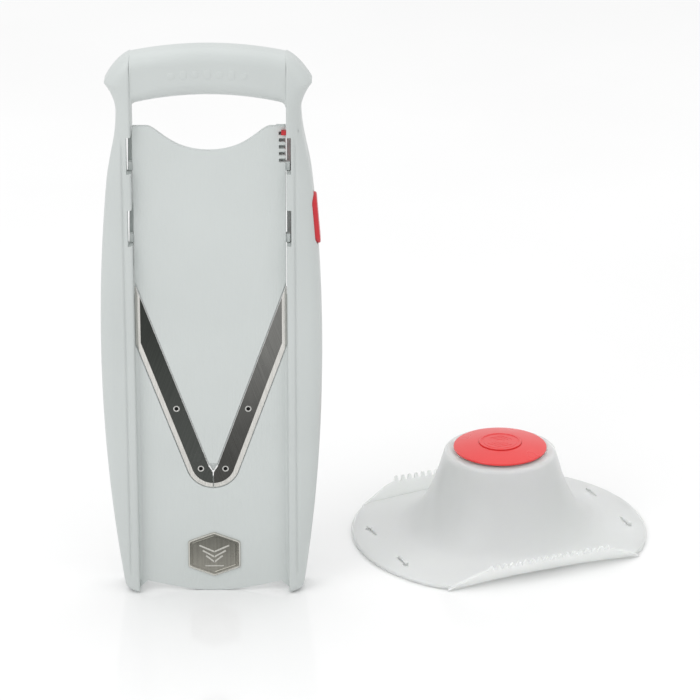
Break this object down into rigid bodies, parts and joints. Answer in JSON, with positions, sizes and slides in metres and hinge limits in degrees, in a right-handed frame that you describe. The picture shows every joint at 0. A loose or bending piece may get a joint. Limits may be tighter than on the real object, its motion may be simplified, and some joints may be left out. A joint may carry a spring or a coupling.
{
  "type": "mandoline slicer",
  "caption": "Upright V-blade hand slicer with a sliding thickness insert, a side release latch and a domed food holder with a spiked plunger, standing beside it.",
  "frame": {"origin": "middle of the flat tip of the deck's lower end, on the surface that the slicer stands on, at the deck's middle plane", "axes": "+X to the side with the release button, -Y towards the slicing side, +Z along the slicer's length up to the handle"},
  "size_m": [0.3535, 0.1887, 0.365],
  "materials": {
    "frame_plastic": "pale grey moulded plastic, satin",
    "blade_steel": "dark ground stainless blade steel with a bright bevel",
    "bright_steel": "bright stainless steel",
    "badge_chrome": "polished badge plate",
    "red_plastic": "glossy signal red",
    "clear_plastic": "translucent milky plastic"
  },
  "bodies": {
    "frame": {"left_rail": "frame_plastic", "right_rail": "frame_plastic", "handle_grip": "frame_plastic", "runout_deck": "frame_plastic", "left_blade": "blade_steel", "right_blade": "blade_steel", "blade_rivets": "bright_steel", "badge_plate": "badge_chrome", "latch_cover": "frame_plastic", "cover_screws": "bright_steel", "latch_pivot_pin": "bright_steel"},
    "insert": {"insert_plate": "frame_plastic", "thickness_rack": "frame_plastic"},
    "latch": {"release_button": "red_plastic", "latch_lever": "red_plastic", "latch_spring": "bright_steel"},
    "holder": {"holder_dome": "clear_plastic", "holder_brim": "clear_plastic", "near_flap": "clear_plastic", "far_flap": "clear_plastic", "food_chamber": "clear_plastic"},
    "plunger": {"plunger_cap": "red_plastic", "cap_medallion": "red_plastic", "plunger_stem": "clear_plastic", "spike_plate": "clear_plastic", "spikes": "bright_steel", "plate_screw": "bright_steel"}
  },
  "joints": [
    {"name": "insert_slide", "type": "slide", "parent": "frame", "child": "insert", "axis": [0, 0.3696, 0.9292], "range_m": [0, 0.01894]},
    {"name": "latch_press", "type": "hinge", "parent": "frame", "child": "latch", "pos_m": [0.054, 0, 0.283], "axis": [0, 1, 0], "range_deg": [0, 6], "stiffness_Nm_per_rad": 1, "springref_deg": -5.73, "deforming": ["latch_spring"]},
    {"name": "holder_lift", "type": "slide", "parent": "frame", "child": "holder", "axis": [0, 0, 1], "range_m": [0, 0.15]},
    {"name": "plunger_slide", "type": "slide", "parent": "holder", "child": "plunger", "axis": [0, 0, 1], "range_m": [0, 0.024]}
  ]
}
